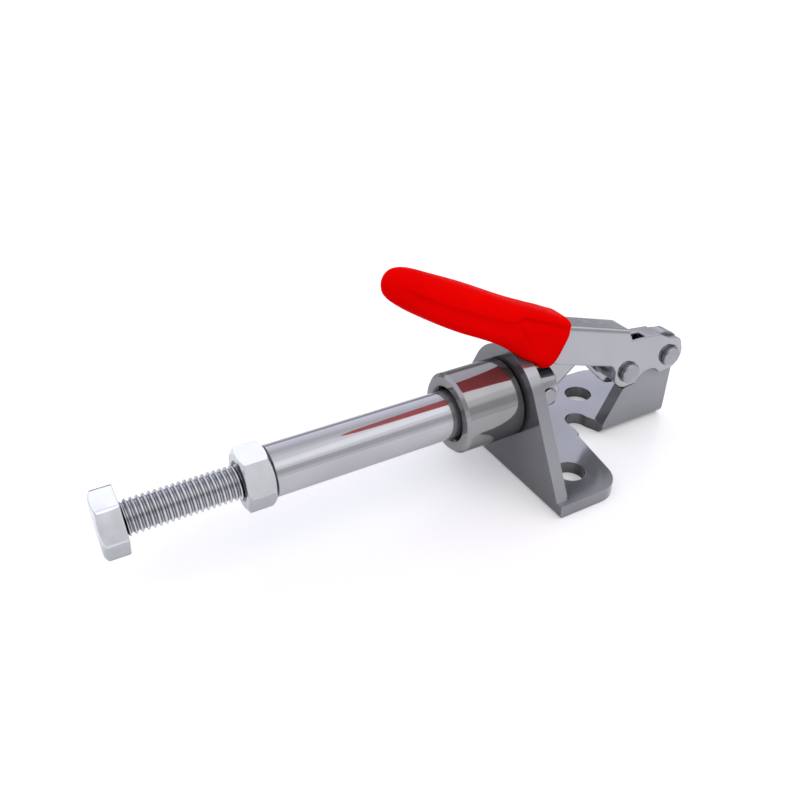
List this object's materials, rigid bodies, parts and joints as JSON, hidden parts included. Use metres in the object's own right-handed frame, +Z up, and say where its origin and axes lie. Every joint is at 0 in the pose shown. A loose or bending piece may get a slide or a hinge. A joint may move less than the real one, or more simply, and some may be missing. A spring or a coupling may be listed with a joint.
{
  "type": "toggle clamp",
  "caption": "Push-pull toggle clamp with a stamped base, a guided plunger, an adjustable hex spindle and a red grip.",
  "frame": {"origin": "midway between the two front screw holes, on the underside of the base", "axes": "+X to the rear along the plunger's axis, +Y to the clamp's right seen from its rear, +Z up from the mounting surface"},
  "size_m": [0.1543, 0.0524, 0.0621],
  "materials": {
    "base_steel": "satin",
    "sleeve_steel": "polished",
    "plunger_steel": "polished",
    "zinc_hardware": "satin",
    "rivet_steel": "satin",
    "handle_steel": "satin",
    "red_grip": "gloss"
  },
  "bodies": {
    "base": {"base_frame": "base_steel", "guide_sleeve": "sleeve_steel", "pivot_pin": "rivet_steel", "pivot_spacer": "rivet_steel"},
    "handle": {"handle_channel": "handle_steel", "grip": "red_grip", "link_pin": "rivet_steel", "link_spacer": "rivet_steel"},
    "link": {"link_plate": "handle_steel"},
    "plunger": {"plunger_rod": "plunger_steel", "plunger_pin": "rivet_steel", "lock_nut": "zinc_hardware"},
    "spindle": {"spindle_bolt": "zinc_hardware"}
  },
  "joints": [
    {"name": "handle_pivot", "type": "hinge", "parent": "base", "child": "handle", "pos_m": [0.0396, 0, 0.0212], "axis": [0, 1, 0], "range_deg": [0, 150]},
    {"name": "link_pivot", "type": "hinge", "parent": "handle", "child": "link", "pos_m": [0.02524, 0, 0.02007], "axis": [0, 1, 0], "range_deg": [-171, 0]},
    {"name": "plunger_slide", "type": "slide", "parent": "base", "child": "plunger", "axis": [1, 0, 0], "range_m": [0, 0.028]},
    {"name": "spindle_adjust", "type": "slide", "parent": "plunger", "child": "spindle", "axis": [1, 0, 0], "range_m": [-0.008, 0.02]}
  ],
  "couplings": [
    {"joint": "link_pivot", "follows": "handle_pivot", "ratio": -1.1373},
    {"joint": "plunger_slide", "follows": "handle_pivot", "m_per_rad": 0.010602}
  ]
}
